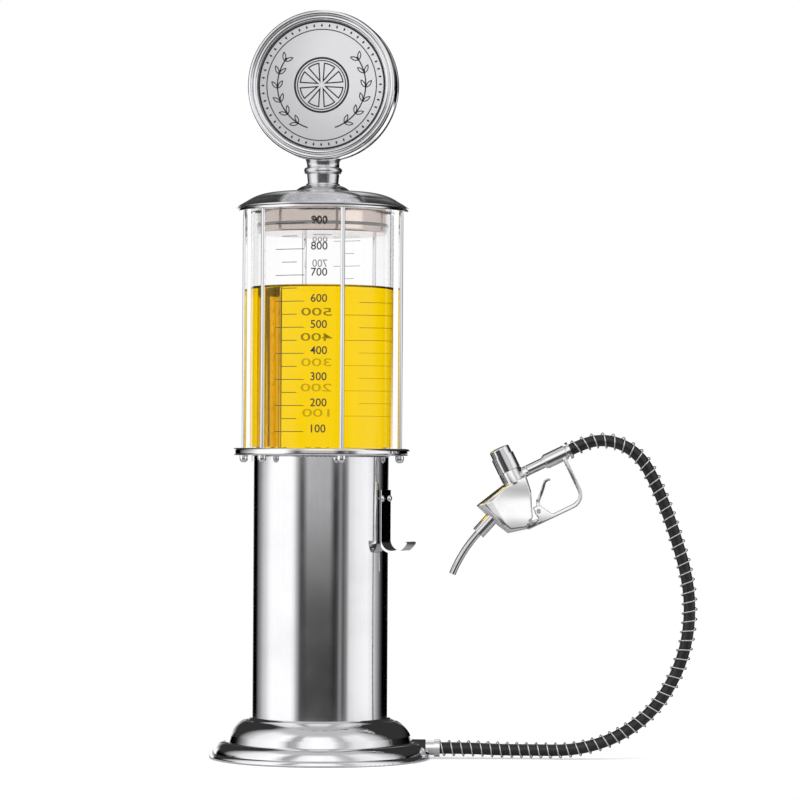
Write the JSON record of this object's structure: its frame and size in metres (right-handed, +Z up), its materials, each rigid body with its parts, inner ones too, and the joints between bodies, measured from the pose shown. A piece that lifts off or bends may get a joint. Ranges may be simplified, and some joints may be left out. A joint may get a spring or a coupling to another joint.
{
  "type": "cocktail dispenser",
  "caption": "Tabletop drinks dispenser: clear canister in a rod cage on a polished column, round sign on the lid, wire-wound hose and a hand nozzle with button and trigger.",
  "frame": {"origin": "middle of the underside of the round foot pad, on the column's axis", "axes": "+Z up along the column, -Y the way the sign faces, +X towards the side the hose leaves from"},
  "size_m": [0.3093, 0.143, 0.485],
  "materials": {
    "chrome": "bright mirror plating",
    "polished_steel": "mirror polished stainless steel",
    "satin_plate": "satin silver",
    "black_rubber": "matt",
    "plain_steel": "zinc plated",
    "cast_ballast": "as cast",
    "clear_acrylic": "clear, polished",
    "white_plastic": "semi gloss",
    "lid_liner": "metallised, bright",
    "clear_tube": "translucent",
    "black_hose": "smooth, slightly glossy",
    "spring_wire": "bright drawn wire"
  },
  "bodies": {
    "root": {"foot_pad": "black_rubber", "floor_plate": "plain_steel", "ballast_weight": "cast_ballast", "base_shell": "chrome", "base_screws": "plain_steel", "base_grommet": "black_rubber", "column_foot_plate": "plain_steel", "column_tube": "polished_steel", "column_head_plate": "plain_steel", "flange_screws": "plain_steel", "hose_hook": "chrome", "hook_screws": "chrome", "lower_flange": "chrome", "cap_nuts": "chrome", "cage_rod_1": "chrome", "cage_rod_2": "chrome", "cage_rod_3": "chrome", "cage_rod_4": "chrome", "cage_rod_5": "chrome", "cage_rod_6": "chrome", "cage_ring": "chrome", "canister": "clear_acrylic", "canister_gasket": "black_rubber", "drain_fitting": "white_plastic", "drain_nut": "plain_steel", "feed_tube": "clear_tube", "hose_outlet": "chrome", "hose_tube": "black_hose", "hose_wire": "spring_wire"},
    "lid": {"lid_dome": "chrome", "lid_plug": "lid_liner", "lid_seal": "black_rubber", "neck_collar": "chrome", "neck_post": "chrome", "neck_stud": "plain_steel", "stud_nuts": "plain_steel", "sign_drum": "chrome", "sign_front_bezel": "chrome", "sign_back_bezel": "chrome", "sign_front_plate": "satin_plate", "sign_back_plate": "satin_plate"},
    "nozzle": {"hose_tail": "chrome", "barrel_tube": "chrome", "barrel_sleeve": "chrome", "nozzle_body": "chrome", "spout_collar": "chrome", "spout_tube": "chrome", "button_sleeve": "chrome", "button_spring": "spring_wire", "valve_seat": "black_rubber", "trigger_guard": "chrome", "guard_screw": "plain_steel", "trigger_pin": "plain_steel", "trigger_spring": "spring_wire"},
    "button": {"button_cap": "chrome", "valve_stem": "spring_wire"},
    "trigger": {"trigger": "chrome"}
  },
  "joints": [
    {"name": "lid_lift", "type": "slide", "parent": "root", "child": "lid", "axis": [0, 0, 1], "range_m": [0, 0.06]},
    {"name": "nozzle_turn", "type": "hinge", "parent": "root", "child": "nozzle", "pos_m": [0.15655, 0.04049, 0.20099], "axis": [0.8702, 0.225, 0.4384], "range_deg": [-40, 40]},
    {"name": "button_press", "type": "slide", "parent": "nozzle", "child": "button", "axis": [0.4244, 0.1098, -0.8988], "range_m": [0, 0.004], "stiffness_N_per_m": 600, "springref_m": -0.002, "deforming": ["button_spring"]},
    {"name": "trigger_pull", "type": "hinge", "parent": "nozzle", "child": "trigger", "pos_m": [0.13685, 0.03539, 0.16081], "axis": [0.2504, -0.9681, 0], "range_deg": [0, 14], "stiffness_Nm_per_rad": 0.02, "springref_deg": -20.05}
  ]
}
